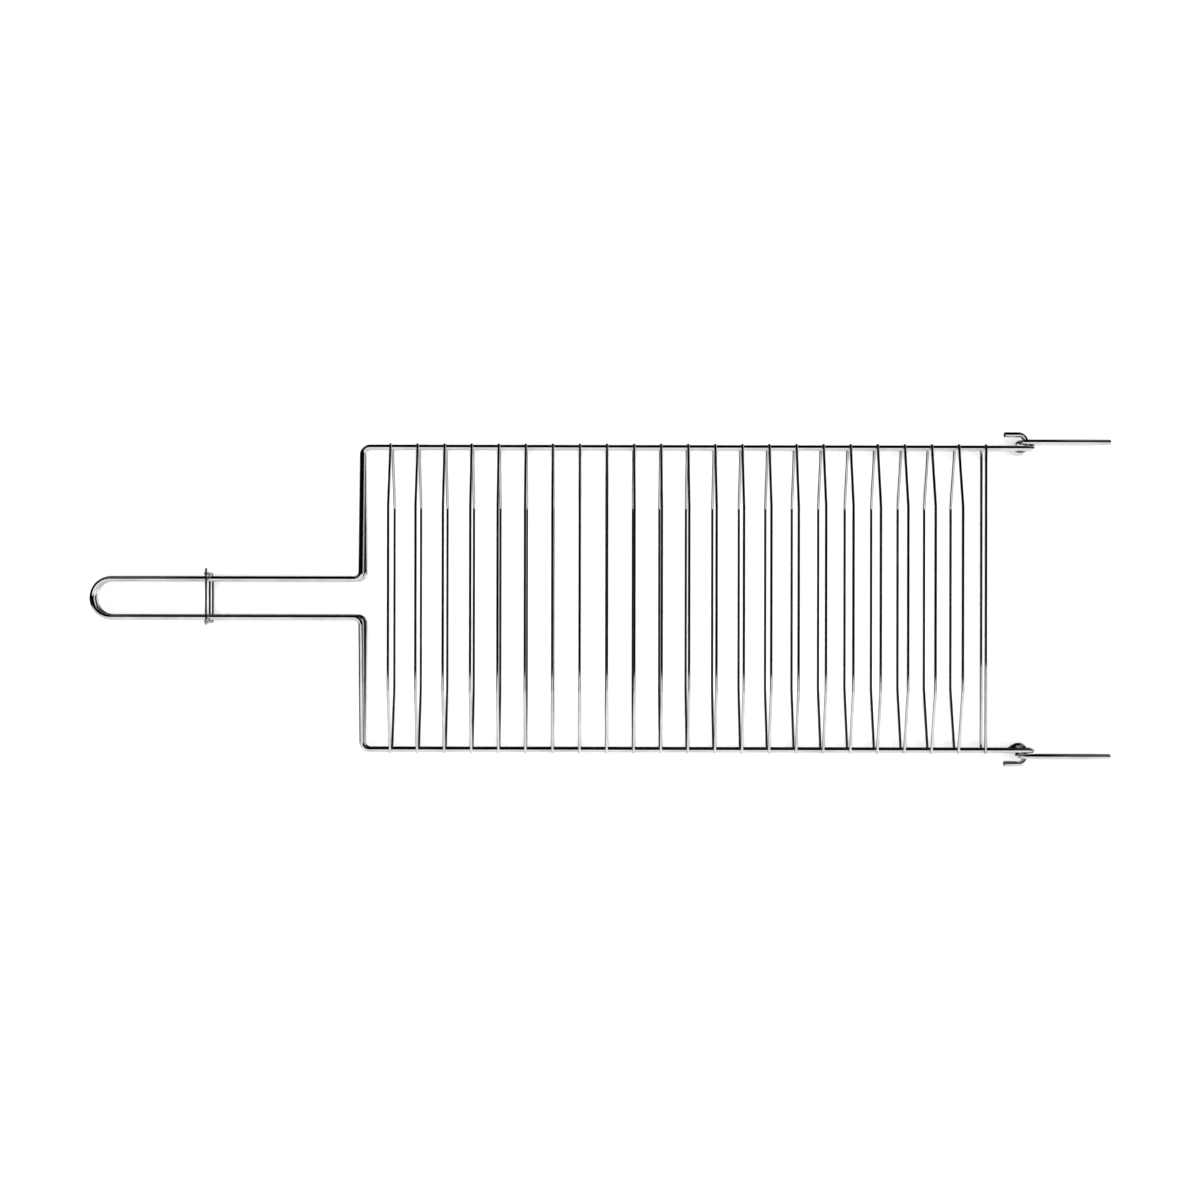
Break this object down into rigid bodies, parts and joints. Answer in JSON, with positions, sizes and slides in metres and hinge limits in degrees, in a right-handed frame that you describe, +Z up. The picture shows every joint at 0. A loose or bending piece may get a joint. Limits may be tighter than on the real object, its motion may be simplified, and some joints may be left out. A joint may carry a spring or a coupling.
{
  "type": "double grill grate",
  "caption": "Long flat grill grate of bright wire: two dished rod grids hinged at one end, closed over the food, with looped handles and a sliding catch.",
  "frame": {"origin": "on the ground under the centre of the closed grate's bounding box; the lower grid's flats lie on z = 0", "axes": "+X from the handle towards the hinge and the two legs, +Y across the grate to the left of someone looking along +X, +Z up from the lower half to the upper half"},
  "size_m": [0.8126, 0.2672, 0.0294],
  "materials": {
    "frame_wire": "bright chrome-plated steel wire, 4 mm",
    "grid_wire": "bright chrome-plated steel wire, 2 mm",
    "catch_wire": "bright chrome-plated steel wire, 1.6 mm"
  },
  "bodies": {
    "lower_half": {"lower_frame": "frame_wire", "lower_rod_01": "grid_wire", "lower_rod_02": "grid_wire", "lower_rod_03": "grid_wire", "lower_rod_04": "grid_wire", "lower_rod_05": "grid_wire", "lower_rod_06": "grid_wire", "lower_rod_07": "grid_wire", "lower_rod_08": "grid_wire", "lower_rod_09": "grid_wire", "lower_rod_10": "grid_wire", "lower_rod_11": "grid_wire", "lower_rod_12": "grid_wire", "lower_rod_13": "grid_wire", "lower_rod_14": "grid_wire", "lower_rod_15": "grid_wire", "lower_rod_16": "grid_wire", "lower_rod_17": "grid_wire", "lower_rod_18": "grid_wire", "lower_rod_19": "grid_wire", "lower_rod_20": "grid_wire", "lower_rod_21": "grid_wire", "lower_rod_22": "grid_wire", "lower_end_bar": "grid_wire"},
    "upper_half": {"upper_frame": "frame_wire", "upper_rod_01": "grid_wire", "upper_rod_02": "grid_wire", "upper_rod_03": "grid_wire", "upper_rod_04": "grid_wire", "upper_rod_05": "grid_wire", "upper_rod_06": "grid_wire", "upper_rod_07": "grid_wire", "upper_rod_08": "grid_wire", "upper_rod_09": "grid_wire", "upper_rod_10": "grid_wire", "upper_rod_11": "grid_wire", "upper_rod_12": "grid_wire", "upper_rod_13": "grid_wire", "upper_rod_14": "grid_wire", "upper_rod_15": "grid_wire", "upper_rod_16": "grid_wire", "upper_rod_17": "grid_wire", "upper_rod_18": "grid_wire", "upper_rod_19": "grid_wire", "upper_rod_20": "grid_wire", "upper_rod_21": "grid_wire", "upper_rod_22": "grid_wire", "upper_end_bar": "grid_wire"},
    "catch": {"catch_bar": "catch_wire", "catch_stirrup": "catch_wire"}
  },
  "joints": [
    {"name": "lid_hinge", "type": "hinge", "parent": "lower_half", "child": "upper_half", "pos_m": [0.34115, 0, 0.01255], "axis": [0, 1, 0], "range_deg": [0, 175]},
    {"name": "catch_slide", "type": "slide", "parent": "lower_half", "child": "catch", "axis": [-1, 0, 0], "range_m": [0, 0.105]}
  ]
}
